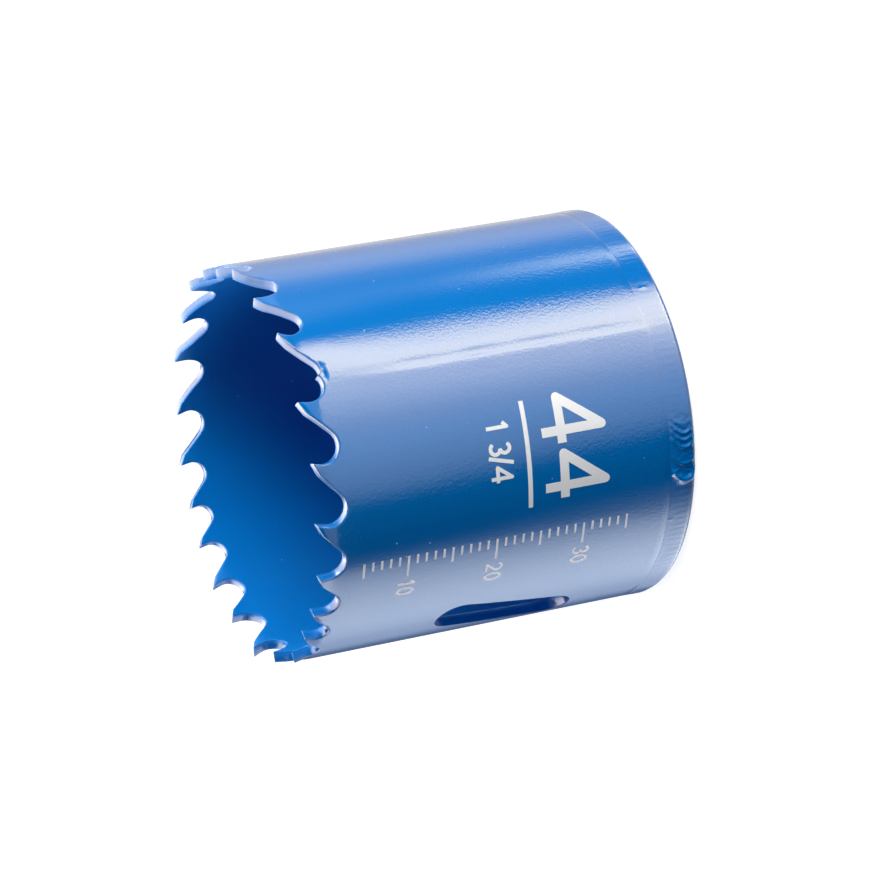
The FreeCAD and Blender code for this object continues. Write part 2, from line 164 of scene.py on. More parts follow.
def enamel():
    """Glossy sprayed enamel: orange peel, dust specks with a painted glint, the cut faces rougher and
    paler by a painted reflection, and dry inside the cup.
    """
    n = Nodes(bpy.data.materials.new("blue_enamel"))
    spot = n.add("TexCoord").outputs["Object"]
    cut, inside = n.mark("cut"), n.mark("inside")
    cells = n.add("TexVoronoi", Vector=spot, Scale=NIB_CELLS).outputs["Distance"]
    nib = n.math("SUBTRACT", 1.0, n.math("DIVIDE", cells, NIB_SIZE), clamp=True)

    def layer(scale, high):
        noisy = n.add("TexNoise", Vector=spot, Scale=scale, Detail=1.0, Roughness=0.5)
        return n.math("MULTIPLY", noisy.outputs["Fac"], high)

    up = n.add("SeparateXYZ", Vector=spot).outputs["Z"]
    coarse = n.math("SUBTRACT", GRAIN_FOOT, n.math("MULTIPLY", up, GRAIN_FALL))
    height = n.math("MULTIPLY", layer(GRAIN, GRAIN_HEIGHT), coarse)
    for more in (layer(FILM, FILM_HEIGHT), layer(WAVE, WAVE_HEIGHT), n.math("MULTIPLY", nib, NIB_HEIGHT)):
        height = n.math("ADD", height, more)
    bump = n.add("Bump", Height=height, Strength=1.0, Distance=1.0).outputs["Normal"]
    # Paler on the cut faces of the teeth: a painted reflection of the bright surroundings.
    cut_reflection = n.add("MixRGB", Fac=n.math("MULTIPLY", cut, CUT_REFLECTION_PALE), Color1=ENAMEL_BLUE, Color2=CUT_REFLECTION_BLUE)
    # Paler on the dust nibs: a painted glint, on top of their real bump.
    nib_glints = n.math("MULTIPLY", nib, NIB_GLINT_PALE)
    base = n.add("MixRGB", Fac=nib_glints, Color1=cut_reflection.outputs[0], Color2=NIB_GLINT_BLUE).outputs[0]
    rough = n.math("ADD", ROUGHNESS, n.math("MULTIPLY", inside, INSIDE_ROUGH))
    rough = n.math("ADD", rough, n.math("MULTIPLY", cut, CUT_ROUGH))
    return n.finish(n.add("BsdfPrincipled", Normal=bump, Base_Color=base, Roughness=rough, IOR=1.5))


INK_GRAIN, INK_UNEVEN, INK_ROUGH = 900.0, 6 * MICRON, 0.42
INK_DULL, INK_BRIGHT = (0.88, 0.92, 0.97, 1.0), (0.97, 0.98, 1.0, 1.0)


def ink():
    """White pad-printed ink, a little uneven."""
    n = Nodes(bpy.data.materials.new("white_ink"))
    spot = n.add("TexCoord").outputs["Object"]
    cloud = n.add("TexNoise", Vector=spot, Scale=INK_GRAIN, Detail=3.0, Roughness=0.6).outputs["Fac"]
    tone = n.add("MixRGB", Fac=cloud, Color1=INK_DULL, Color2=INK_BRIGHT).outputs[0]
    height = n.math("MULTIPLY", cloud, INK_UNEVEN)
    bump = n.add("Bump", Height=height, Strength=1.0, Distance=1.0).outputs["Normal"]
    return n.finish(n.add("BsdfPrincipled", Normal=bump, Base_Color=tone, Roughness=INK_ROUGH))


# Stage
# The floor: its glow where it is seen, its grey under the lamps, half its side, and its drop.
FLOOR_GLOW = 0.86
FLOOR_GREY = (0.45, 0.45, 0.45, 1.0)
FLOOR_SIDE = 6.0
FLOOR_DROP = 0.05 * MM
WORLD_LIGHT = 0.05
SQUARE = ((-1, -1), (1, -1), (1, 1), (-1, 1))


def floor_material():
    """White where it is seen, matt grey to the lamps, and clear from below."""
    n = Nodes(bpy.data.materials.new("floor"))
    glow = n.add("Emission", Color=(1, 1, 1, 1), Strength=n.math("MULTIPLY", n.seen(), FLOOR_GLOW))
    matt = n.add("BsdfDiffuse", Color=FLOOR_GREY)
    both = n.add("AddShader", n0=glow.outputs[0], n1=matt.outputs[0])
    below = n.add("NewGeometry").outputs["Backfacing"]
    clear = n.add("BsdfTransparent")
    return n.finish(n.add("MixShader", n0=below, n1=both.outputs[0], n2=clear.outputs[0]))


def make_floor():
    mesh = bpy.data.meshes.new("floor")
    corners = [(x * FLOOR_SIDE, y * FLOOR_SIDE, -FLOOR_DROP) for x, y in SQUARE]
    mesh.from_pydata(corners, [], [(0, 1, 2, 3)])
    mesh.materials.append(floor_material())
    add_object("floor", mesh)


def make_world():
    """White where it is seen, with little light of its own."""
    world = bpy.data.worlds.new("world")
    bpy.context.scene.world = world
    n = Nodes(world, "OutputWorld")
    white = n.add("Background", Strength=1.0)
    soft = n.add("Background", Strength=WORLD_LIGHT)
    n.finish(n.add("MixShader", n0=n.seen(), n1=soft.outputs[0], n2=white.outputs[0]))


def make_lamp(name, place, aim, size, watts, color=(1, 1, 1)):
    """An area light that shows neither itself nor its reflection."""
    data = bpy.data.lights.new(name, "AREA")
    data.shape = "RECTANGLE"
    data.size, data.size_y = size
    data.energy = watts
    data.color = color
    lamp = add_object(name, data)
    direction = Vector(aim) - Vector(place)
    lamp.rotation_euler = direction.to_track_quat("-Z", "Y").to_euler()
    lamp.location = place
    lamp.visible_camera = False
    lamp.visible_glossy = False


GOLD = (1.0, 0.8, 0.43)
AMBER = (1.0, 0.78, 0.46)
WARM = (1.0, 0.84, 0.62)
PALE = (1.0, 0.92, 0.78)
WHITE = (1.0, 1.0, 1.0)
COOL = (0.92, 0.98, 1.0)
# The strip lights as they show in the wall's gloss: angle round the wall, brightness and tint.
STRIPS = [
    (-12, 0.85, WHITE), (0, 0.85, PALE), (5, 1.1, WARM), (10, 0.9, AMBER), (15, 1.05, AMBER),
    (20, 1.5, AMBER), (25, 1.6, AMBER), (30, 0.8, AMBER), (35, 0.45, AMBER), (37, 0.6, PALE),
    (40, 0.75, PALE), (43, 0.4, PALE), (46, 0.12, WHITE), (51, 0.12, WHITE),
    (53, 0.8, WARM), (57, 12.6, GOLD), (60, 16.4, GOLD), (66, 17.0, GOLD), (68, 12.0, GOLD),
    (70, 9.3, AMBER), (75, 6.3, AMBER), (80, 4.0, AMBER), (85, 3.0, PALE), (90, 2.5, PALE),
    (95, 2.1, PALE), (99, 1.5, PALE), (102, 0.6, WARM), (104, 0.0, WHITE), (118, 0.0, WHITE),
    (121, 0.6, COOL), (125, 4.0, COOL), (130, 5.3, COOL), (135, 5.5, COOL), (140, 5.0, COOL),
    (145, 4.0, COOL), (150, 2.7, COOL), (155, 1.5, COOL), (160, 0.95, COOL), (165, 0.25, COOL),
    (170, 0.1, WHITE), (176, 0.1, WHITE), (184, 0.3, WHITE),
]
# A streak that fades away from the foot: angle, half width, brightness and reach.
STREAK = (39.3, 2.6, 4.6, 0.065)
STREAK_TINT = (1.0, 0.92, 0.62)
# The dark band's upper edge lies higher at the foot, by this many degrees and up to this reach. The shift
# starts and ends at these angles, each with the degrees over which it fades.
EDGE_SHIFT, EDGE_REACH = 5.5, 0.09
EDGE_START, EDGE_START_FADE = 80, 15
EDGE_END, EDGE_END_FADE = 125, 12
# The fan that carries the strips: its step in degrees, its reach and rows outwards, and its height.
FAN_STEP = 1.0
FAN_REACH = 130 * MM
FAN_ROWS = 9
FAN_LIFT = 0.3 * MM


def strip_color(theta, reach):
    """Brightness times tint at an angle round the wall and a distance from the foot."""
    at, wide, bright, far = STREAK
    streak = bright * math.exp(-((theta - at) / wide) ** 2) * smooth((far - reach) / far)
    shift = smooth((theta - EDGE_START) / EDGE_START_FADE) * smooth((EDGE_END - theta) / EDGE_END_FADE)
    theta += EDGE_SHIFT * shift * max(0.0, 1 - reach / EDGE_REACH)
    for (a, low, tint), (b, high, next_tint) in zip(STRIPS, STRIPS[1:]):
        if a <= theta <= b:
            t = (theta - a) / (b - a)
            mixed = [low * c * (1 - t) + high * d * t for c, d in zip(tint, next_tint)]
            return [c + streak * d for c, d in zip(mixed, STREAK_TINT)] + [1.0]


def grid_faces(rows, columns):
    """Four-sided faces between points that were laid out row by row."""
    corners = [i * columns + j for i in range(rows - 1) for j in range(columns - 1)]
    return [(a, a + 1, a + columns + 1, a + columns) for a in corners]


def glow_mesh(name, points, faces, glow):
    """A soft light that shows only in gloss, with one colour for each of its points."""
    mesh = bpy.data.meshes.new(name)
    mesh.from_pydata(points, [], faces)
    mesh.attributes.new("glow", "FLOAT_COLOR", "POINT").data.foreach_set("color", glow)
    n = Nodes(bpy.data.materials.new(name))
    n.finish(n.add("Emission", Color=n.mark("glow", "Color"), Strength=1.0))
    n.owner.cycles.emission_sampling = "NONE"
    mesh.materials.append(n.owner)
    made = add_object(name, mesh)
    for flag in ("visible_camera", "visible_diffuse", "visible_shadow", "visible_transmission"):
        setattr(made, flag, False)


def make_strips():
    """Soft strip lights that lie round the foot and show in the wall's gloss."""
    view = math.atan2(CAMERA_FORWARD.y, CAMERA_FORWARD.x)
    first, last = STRIPS[0][0], STRIPS[-1][0]
    count = int((last - first) / FAN_STEP) + 1
    points, glow = [], []
    for i in range(count):
        theta = first + i * FAN_STEP
        side = azimuth(theta)
        away = 2 * side - view + math.pi
        for j in range(FAN_ROWS):
            reach = FAN_REACH * j / (FAN_ROWS - 1)
            x = RADIUS * MM * math.cos(side) + reach * math.cos(away)
            y = RADIUS * MM * math.sin(side) + reach * math.sin(away)
            points.append((x, y, FAN_LIFT))
            glow += strip_color(theta, reach)
    glow_mesh("strip_lights", points, grid_faces(count, FAN_ROWS), glow)


SKY_RADIUS, SKY_LIFT = 1.2, 0.02
SKY_GLOW = 9.5
SKY_TINT = (1.0, 0.91, 0.86)
# The sky, in degrees: it begins low and is full higher up, between two sides that fade, and round its top.
SKY_LOW, SKY_FULL = 2.0, 34.0
SKY_EAST, SKY_WEST, SKY_FADE = -28.0, 160.0, 25.0
SKY_CAP, SKY_CAP_FADE = 58.0, 12.0


def sky_glow(side, rise):
    """How bright the soft sky is in a direction: full overhead and behind, dark towards the camera."""
    glow = SKY_GLOW * smooth((rise - SKY_LOW) / (SKY_FULL - SKY_LOW))
    east = smooth((side - SKY_EAST + SKY_FADE) / SKY_FADE)
    west = smooth((SKY_WEST + SKY_FADE - side) / SKY_FADE)
    return glow * max(east * west, smooth((rise - SKY_CAP) / SKY_CAP_FADE))


def make_sky():
    """A soft dome, for the cut faces of the teeth, which the floor's lights don't reach."""
    sides, rises = range(-180, 181, 6), range(0, 91, 5)
    points, glow = [], []
    for rise in rises:
        for side in sides:
            turn, tilt = math.radians(side), math.radians(rise)
            points.append((
                SKY_RADIUS * math.cos(turn) * math.cos(tilt),
                SKY_RADIUS * math.sin(turn) * math.cos(tilt),
                SKY_RADIUS * math.sin(tilt) + SKY_LIFT,
            ))
            glow += [sky_glow(side, rise) * c for c in SKY_TINT] + [1.0]
    glow_mesh("sky", points, grid_faces(len(rises), len(sides)), glow)


def make_card(name, place, aim, size, strength):
    """A flat soft light that shows only in gloss."""
    w, h = size[0] / 2, size[1] / 2
    turn = (Vector(aim) - Vector(place)).to_track_quat("Z", "Y").to_matrix()
    corners = [Vector(place) + turn @ Vector((x * w, y * h, 0)) for x, y in SQUARE]
    glow_mesh(name, corners, [(0, 1, 2, 3)], [strength, strength, strength, 1.0] * 4)


def beside(theta, away, z):
    """A place at an angle round the wall, a distance from the axis and a height, in metres."""
    side = azimuth(theta)
    return (away * math.cos(side), away * math.sin(side), z)


make_camera()
make_world()
make_floor()
make_strips()
make_sky()
FOOT_AIM = (0, 0, 0.02)
make_card("side_panel", (0.5, -0.15, 0.3), aim=(0, 0, 0.04), size=(0.17, 0.22), strength=26.0)
make_lamp("key", beside(33, 0.5, 0.16), FOOT_AIM, size=(0.3, 0.3), watts=3.7, color=(1.0, 1.0, 0.97))
make_lamp("low", beside(194, 0.5, 0.03), FOOT_AIM, size=(0.3, 0.3), watts=2.7, color=(0.9, 0.85, 1.0))
make_lamp("back", beside(258, 0.55, 0.1), FOOT_AIM, size=(0.4, 0.2), watts=2.0)
make_lamp("top", (0.0, 0.0, 0.7), (0, 0, 0), size=(0.6, 0.6), watts=0.35)

# Pieces, in mm
SOFT = math.radians(32)
WALL = 1.15
AROUND = 2 * math.pi * RADIUS
SEAM_ANGLE = 271.4
# The pitches from tooth to tooth and how far each tooth leans out, in a sequence that repeats.
PITCHES = (6.55, 6.6, 5.9, 5.2, 4.6, 5.1, 6.15)
LEANS = (-0.25, 0.45, -0.25, 0.45, 0.0, -0.25, 0.45)
REPEAT = len(PITCHES)
FIRST_TIP = 2.5
# A lean starts this far below the tips, and takes this share of the pitch in front of a tip.
LEAN_HEIGHT, LEAN_POWER, LEAN_FRONT = 1.9, 1.4, 0.3
# A gullet's depth, its floor's radius and the land behind its tip, as shares of the pitch.
GULLET_DEPTH, GULLET_ROUND, GULLET_LAND = 0.5, 0.28, 0.2
GULLET_DEEPEST = 3.2
RAKE = math.radians(12)
RELIEF = math.radians(24)
TIP_FLAT = 0.12
# Points on a gullet's outline: steps of its floor and slope, and shares along its land and rake face.
ARC_STEPS, SLOPE_STEPS, LAND_STEP, FACE_STEPS = 12, 5, 0.45, (0.3, 0.65, 0.9)
# The strip's two ends meet in a short slope, this wide.
SEAM_STEP = 0.36
# The bevelled foot: its height outside, its drop to the inside, and where that drop begins.
FOOT, FOOT_DROP, FOOT_BLEND = 3.0, 2.2, 6.0
# The slots: their polar angles, and for each its middle's height, its round ends' distance and radius,
# and its slant.
SLOT_ANGLES = (180.0, 0.0)
SLOT_HEIGHT = 19.85
SLOT_SPREAD = 11.55
SLOT_ROUND = 2.7
SLOT_SLANT = math.radians(12)
SLOT_END_STEPS, SLOT_SIDE_STEPS = 16, 10
# Round a slot the cut runs straight through the wall: so far along and up from its middle, then it fades.
SLOT_ALONG, SLOT_UP, SLOT_FADE = 8.0, 12.5, 3.0
# Cut edges are rounded in rows, with a guard of loose points beside them.
EDGE_ROUND, EDGE_ROWS, EDGE_GUARD = 0.14, 3, 0.1
# The rounding is less at the tips: its share there, and the height over which that fades.
TIP_SHARE, TIP_FADE = 0.35, 0.9
# A sharp corner moves in by the edge's width over this at most.
MITER_LEAST = 0.45
# The strip's ends leave the circle near the mouth: angle, height and half width, then its start and fade.
BULGE_ANGLE, BULGE_HEIGHT, BULGE_SPREAD = 55, 0.3, 11
BULGE_LOW, BULGE_FADE = 26, 16
# The weld's crown along the seam, and where it ends under the mouth.
SEAM_CROWN, SEAM_SPREAD = 0.05, 2.6
CROWN_END, CROWN_FADE = 40.5, 6
# The line ground along the seam's weld, across the seam: place and height.
SEAM_LINES = ((-0.3, 0.0), (0.5, -0.075), (1.12, 0.03), (2.6, 0.0))
LINE_END, LINE_FADE = 39, 14
LINE_WAVER, LINE_WAVES = 0.25, 0.9
# Pits and nibs by the seam: place along the strip, height, half sizes and depth.
SEAM_PITS = (
    (-0.9, 39.95, 0.24, 0.3, 0.12),
    (0.1, 39.75, 0.46, 0.22, 0.14),
    (-0.36, 39.95, 0.14, 0.14, -0.12),
    (-1.65, 37.9, 0.1, 0.9, 0.03),
)


def piece(name, mesh, material, node=None):
    """A visible piece on the root, in place of a packed one where that is named."""
    mesh.materials.clear()
    mesh.materials.append(material)
    made = add_object(name, mesh)
    if node:
        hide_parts(node)
    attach(made, "root")
    return made


def tip_places():
    """Tips along the strip in mm from the seam, each with the pitch in front of it and behind it."""
    found, tip = [], FIRST_TIP
    while tip < AROUND:
        n = len(found)
        found.append((tip, PITCHES[(n - 1) % REPEAT], PITCHES[n % REPEAT]))
        tip += PITCHES[n % REPEAT]
    return found


TIPS = tip_places()


def gullet(tip, pitch):
    """Outline of the gullet that ends at a tip, as points along the strip and up."""
    depth = min(GULLET_DEPTH * pitch, GULLET_DEEPEST)
    r = GULLET_ROUND * pitch
    land = GULLET_LAND * pitch
    straight = (depth - r - r * math.sin(RAKE)) / math.cos(RAKE)
    left, right = -pitch / 2, pitch / 2 - TIP_FLAT
    cx = left - straight * math.sin(RAKE) + r * math.cos(RAKE)
    cz = r - depth
    land_x = right - land * math.cos(RELIEF)
    land_z = -land * math.sin(RELIEF)
    reach_x, reach_z = land_x - cx, land_z - cz
    turned = math.acos(r / math.hypot(reach_x, reach_z))
    aim = math.atan2(reach_z, reach_x) - turned
    last = -math.pi - RAKE
    while last > aim:
        last -= 2 * math.pi
    while last < aim - 2 * math.pi:
        last += 2 * math.pi
    step = land * LAND_STEP
    points = [(right, 0.0), (right - step * math.cos(RELIEF), -step * math.sin(RELIEF))]
    slope_x, slope_z = cx + r * math.cos(aim), cz + r * math.sin(aim)
    for i in range(SLOPE_STEPS):
        t = i / SLOPE_STEPS
        points.append((land_x + (slope_x - land_x) * t, land_z + (slope_z - land_z) * t))
    for i in range(ARC_STEPS + 1):
        angle = aim + (last - aim) * i / ARC_STEPS
        points.append((cx + r * math.cos(angle), cz + r * math.sin(angle)))
    end_x, end_z = points[-1]
    points += [(end_x + (left - end_x) * t, end_z * (1 - t)) for t in FACE_STEPS]
    points.append((left, 0.0))
    middle = tip - pitch / 2
    return [(middle - x, TOP + z) for x, z in points]


def clip(points, limit, above):
    """The part of a line on one side of a place along the strip."""
    kept = []
    for (a0, z0), (a1, z1) in zip(points, points[1:]):
        in0, in1 = (a0 >= limit, a1 >= limit) if above else (a0 <= limit, a1 <= limit)
        if in0 and not kept:
            kept.append((a0, z0))
        if in0 != in1:
            t = (limit - a0) / (a1 - a0)
            kept.append((limit, z0 + (z1 - z0) * t))
        if in1:
            kept.append((a1, z1))
    return kept


def top_outline():
    """The toothed edge once round, from a gullet opposite the seam, where the flat strip is cut."""
    first, front, _ = TIPS[0]
    last, _, behind = TIPS[-1]
    line = clip(gullet(first, front), 0.0, above=True)
    for tip, front, _ in TIPS[1:]:
        line += gullet(tip, front)
    line += clip(gullet(last + behind, behind), AROUND, above=False)
    start, end = line[0][1], line[-1][1]
    line = [(a, z) for a, z in line[1:-1] if SEAM_STEP < a < AROUND - SEAM_STEP]
    line = [(SEAM_STEP / 2, start)] + line + [(AROUND - SEAM_STEP / 2, end)]
    near = [i for i, (a, _) in enumerate(line) if abs(a - AROUND / 2) < PITCHES[0]]
    floor = min(near, key=lambda i: line[i][1])
    return line[floor:] + [(a + AROUND, z) for a, z in line[:floor]]


def slot_outline(angle):
    """A slot's edge on the outer face, as points along the strip and up."""
    centre = math.radians(SEAM_ANGLE - angle) * RADIUS
    if centre < AROUND / 2:
        centre += AROUND
    across, rise = SLOT_SPREAD / 2 * math.sin(SLOT_SLANT), SLOT_SPREAD / 2 * math.cos(SLOT_SLANT)

    def end(sign, turn):
        return sign * across + SLOT_ROUND * math.cos(turn), sign * rise + SLOT_ROUND * math.sin(turn)

    points = []
    for sign, start in ((1, -SLOT_SLANT), (-1, math.pi - SLOT_SLANT)):
        points += [end(sign, start + math.pi * i / SLOT_END_STEPS) for i in range(SLOT_END_STEPS + 1)]
        (x0, z0), (x1, z1) = points[-1], end(-sign, start + math.pi)
        for i in range(1, SLOT_SIDE_STEPS):
            points.append((x0 + (x1 - x0) * i / SLOT_SIDE_STEPS, z0 + (z1 - z0) * i / SLOT_SIDE_STEPS))
    return [(centre - math.asin(x / RADIUS) * RADIUS, SLOT_HEIGHT + z) for x, z in points]


def inset(loop, wide, period=0.0):
    """Moves each point of a closed line into the metal, by less at the sharp tips."""
    moved = []
    n = len(loop)
    for i, (x, z) in enumerate(loop):
        width = wide * (TIP_SHARE + (1 - TIP_SHARE) * smooth((TOP - z) / TIP_FADE))
        px, pz = loop[i - 1]
        nx, nz = loop[(i + 1) % n]
        if i == 0:
            px -= period
        if i == n - 1:
            nx += period
        ax, az = x - px, z - pz
        bx, bz = nx - x, nz - z
        la, lb = math.hypot(ax, az), math.hypot(bx, bz)
        ax, az, bx, bz = ax / la, az / la, bx / lb, bz / lb
        mx, mz = az + bz, -(ax + bx)
        lm = math.hypot(mx, mz)
        mx, mz = mx / lm, mz / lm
        miter = max(MITER_LEAST, mx * az - mz * ax)
        moved.append((x + mx * width / miter, z + mz * width / miter))
    return moved


def lean(a, z):
    """How far a tooth leans out at this place."""
    t = (z - (TOP - LEAN_HEIGHT)) / LEAN_HEIGHT
    if t <= 0:
        return 0.0
    a %= AROUND
    tooth = len(TIPS) - 1 if a > TIPS[-1][0] else 0
    for n, (tip, front, behind) in enumerate(TIPS):
        if tip - LEAN_FRONT * front <= a < tip + (1 - LEAN_FRONT) * behind:
            tooth = n
            break
    return LEANS[tooth % REPEAT] * t ** LEAN_POWER


def bulge(a, z):
    """The strip's ends don't quite follow the circle near the mouth."""
    theta = theta_at(math.radians(SEAM_ANGLE) - a / RADIUS)
    around = abs((theta - BULGE_ANGLE + 180) % 360 - 180)
    return BULGE_HEIGHT * math.exp(-(around / BULGE_SPREAD) ** 2) * smooth((z - BULGE_LOW) / BULGE_FADE)


def seam(a, z):
    """The weld along the seam: a low crown, with a line ground along it and pits at the mouth."""
    off = (a + AROUND / 2) % AROUND - AROUND / 2
    if abs(off) > SEAM_SPREAD:
        return 0.0
    crown = SEAM_CROWN * math.cos(math.pi / 2 * off / SEAM_SPREAD) ** 2
    rise = crown * smooth((CROWN_END - z) / CROWN_FADE)
    for (x0, h0), (x1, h1) in zip(SEAM_LINES, SEAM_LINES[1:]):
        if x0 <= off <= x1:
            line = h0 + (h1 - h0) * (off - x0) / (x1 - x0)
            rise += line * smooth((LINE_END - z) / LINE_FADE) * (1 + LINE_WAVER * math.sin(z * LINE_WAVES))
    for x, up, wide, tall, deep in SEAM_PITS:
        rise -= deep * math.exp(-((off - x) / wide) ** 2 - ((z - up) / tall) ** 2)
    return rise * smooth(z - FOOT)


def place(a, z, depth):
    """Point of the band in metres, from a place along the strip, a height and a depth in the wall."""
    angle = SEAM_ANGLE - math.degrees(a / RADIUS)
    r = RADIUS - depth + lean(a, z) + bulge(a, z)
    if depth < WALL / 2:
        r += seam(a, z) * (1 - 2 * depth / WALL)
    if z < FOOT_BLEND:
        z -= FOOT_DROP * (FOOT_BLEND - z) / (FOOT_BLEND - FOOT) * depth / WALL
    for slot in SLOT_ANGLES:
        d = (angle - slot + 180) % 360 - 180
        if abs(d) > 90:
            continue
        x = RADIUS * math.sin(math.radians(d))
        fade = smooth((SLOT_ALONG - abs(x)) / SLOT_FADE)
        fade *= smooth((SLOT_UP - abs(z - SLOT_HEIGHT)) / SLOT_FADE)
        if fade > 0:
            straight = math.degrees(math.asin(x / (RADIUS - depth)))
            angle += (straight - d) * fade
    side = math.radians(angle)
    return (r * math.cos(side) * MM, r * math.sin(side) * MM, z * MM)


# How finely the strip's face is divided: columns round the foot, rows at its two ends, and loose points.
COLUMNS, END_ROWS = 112, 34
# Loose points along the edges stop this far under the tips. Each kind keeps so clear of other points.
EDGE_TOP, EDGE_CLEAR = 0.9, 0.9 * EDGE_GUARD
SEAM_PLACES = (-2.6, -2.0, -1.4, -0.8, -0.3, 0.1, 0.5, 0.8, 1.04, 1.2, 1.6, 2.1, 2.6)
SEAM_COLUMNS = [AROUND + across for across in SEAM_PLACES]
SEAM_ROWS, SEAM_CLEAR = [FOOT + 0.6 + 0.8 * i for i in range(46)], 0.12
PIT_COLUMNS = [AROUND - 1.7 + 0.12 * i for i in range(26)]
PIT_ROWS, PIT_CLEAR = [38.5 + 0.12 * i for i in range(18)], 0.08
# Levels of loose points up the wall, and more finely divided ones near the mouth.
WALL_LEVELS, WALL_CLEAR = [FOOT + 1.2 * i for i in range(1, 30)], 0.5
MOUTH_LEVELS, MOUTH_CLEAR, MOUTH_FINER = [38.4 + 0.45 * i for i in range(11)], 0.22, 3


class Strip:
    """The band's face laid flat, as points along the strip and up, filled between its edges."""

    def __init__(self, loops):
        self.flat, self.edges, self.loop_ids, self.twins = [], [], [], {}
        for loop, period in loops:
            self.add_loop(inset(loop, EDGE_ROUND, period), is_open=period > 0)
        self.add_ends()
        self.near = {}
        for point in self.flat:
            self.near.setdefault(self.cell(*point), []).append(point)
        self.add_loose(loops)
        vectors = [Vector(point) for point in self.flat]
        self.points, _, self.faces, self.origin, _, _ = delaunay_2d_cdt(vectors, self.edges, [], 1, 1e-7)

    def add_loop(self, line, is_open):
        """The toothed edge, or the closed edge of a slot."""
        ids = list(range(len(self.flat), len(self.flat) + len(line)))
        self.flat += line
        self.loop_ids.append(ids)
        self.edges += zip(ids, ids[1:] if is_open else ids[1:] + ids[:1])

    def extend(self, last, a, z):
        """Adds a point, joined to an earlier one."""
        self.flat.append((a, z))
        self.edges.append((last, len(self.flat) - 1))
        return len(self.flat) - 1

    def add_ends(self):
        """The strip's two ends opposite the seam, with the same points on both, and the foot."""
        left, end = self.loop_ids[0][0], self.loop_ids[0][-1]
        first, top = self.flat[left]
        right = self.extend(end, first + AROUND, top)
        self.twins[right] = left
        for i in range(1, END_ROWS + 1):
            z = top + (FOOT - top) * i / END_ROWS
            left = self.extend(left, first, z)
            right = self.extend(right, first + AROUND, z)
            self.twins[right] = left
        self.foot_ids = [left]
        for i in range(1, COLUMNS):
            self.foot_ids.append(self.extend(self.foot_ids[-1], first + AROUND * i / COLUMNS, FOOT))
        self.edges.append((self.foot_ids[-1], right))

    @staticmethod
    def cell(a, z):
        """The square millimetre that a point lies in."""
        return int(a), int(z)

    def loose(self, a, z, clear):
        """Adds a loose point, unless another lies too near."""
        column, row = self.cell(a, z)
        for across in (-1, 0, 1):
            for up in (-1, 0, 1):
                for x, y in self.near.get((column + across, row + up), ()):
                    if math.hypot(x - a, y - z) < clear:
                        return
        self.flat.append((a, z))
        self.near.setdefault((column, row), []).append((a, z))

    def add_loose(self, loops):
        """Points in between: along the edges, by the seam and its pits, and over the whole wall."""
        for loop, period in loops:
            for a, z in inset(loop, EDGE_ROUND + EDGE_GUARD, period):
                if z < TOP - EDGE_TOP:
                    self.loose(a, z, EDGE_CLEAR)
        seam_patch, pit_patch = (SEAM_COLUMNS, SEAM_ROWS, SEAM_CLEAR), (PIT_COLUMNS, PIT_ROWS, PIT_CLEAR)
        for columns, rows, clear in (seam_patch, pit_patch):
            for a in columns:
                for z in rows:
                    self.loose(a, z, clear)
        first = self.flat[self.loop_ids[0][0]][0]
        for z in WALL_LEVELS:
            for i in range(1, COLUMNS):
                self.loose(first + AROUND * i / COLUMNS, z, WALL_CLEAR)
        count = MOUTH_FINER * COLUMNS
        for z in MOUTH_LEVELS:
            for i in range(count):
                self.loose(first + AROUND * (i + 0.5) / count, z, MOUTH_CLEAR)

    def solid_faces(self):
        """The filled faces apart from those that lie in a slot."""
        holes = [[self.flat[i] for i in ids] for ids in self.loop_ids[1:]]
        return [face for face in self.faces if not any(in_loop(self.middle(face), hole) for hole in holes)]

    def middle(self, face):
        """The middle of a filled face."""
        return tuple(sum(self.points[v][k] for v in face) / len(face) for k in (0, 1))

    def source(self, v):
        """What a filled point comes from, the same at both ends of the strip."""
        source = self.origin[v][0] if self.origin[v] else ("new", v)
        return self.twins.get(source, source)


def in_loop(point, loop):
    """Whether a point lies inside a closed line."""
    x, z = point
    found = False
    for (x0, z0), (x1, z1) in zip(loop, loop[1:] + loop[:1]):
        if (z0 > z) != (z1 > z) and x < x0 + (x1 - x0) * (z - z0) / (z1 - z0):
            found = not found
    return found


def edge_rows():
    """Rows round a cut edge from the outer face to the inner one: how far each is inset, and its depth."""
    rows = []
    for i in range(EDGE_ROWS + 1):
        beta = math.pi / 2 * i / EDGE_ROWS
        rows.append((EDGE_ROUND * (1 - math.sin(beta)), EDGE_ROUND * (1 - math.cos(beta))))
    back = [(off, WALL - deep) for off, deep in reversed(rows)]
    return rows + [(0.0, WALL / 2)] + back


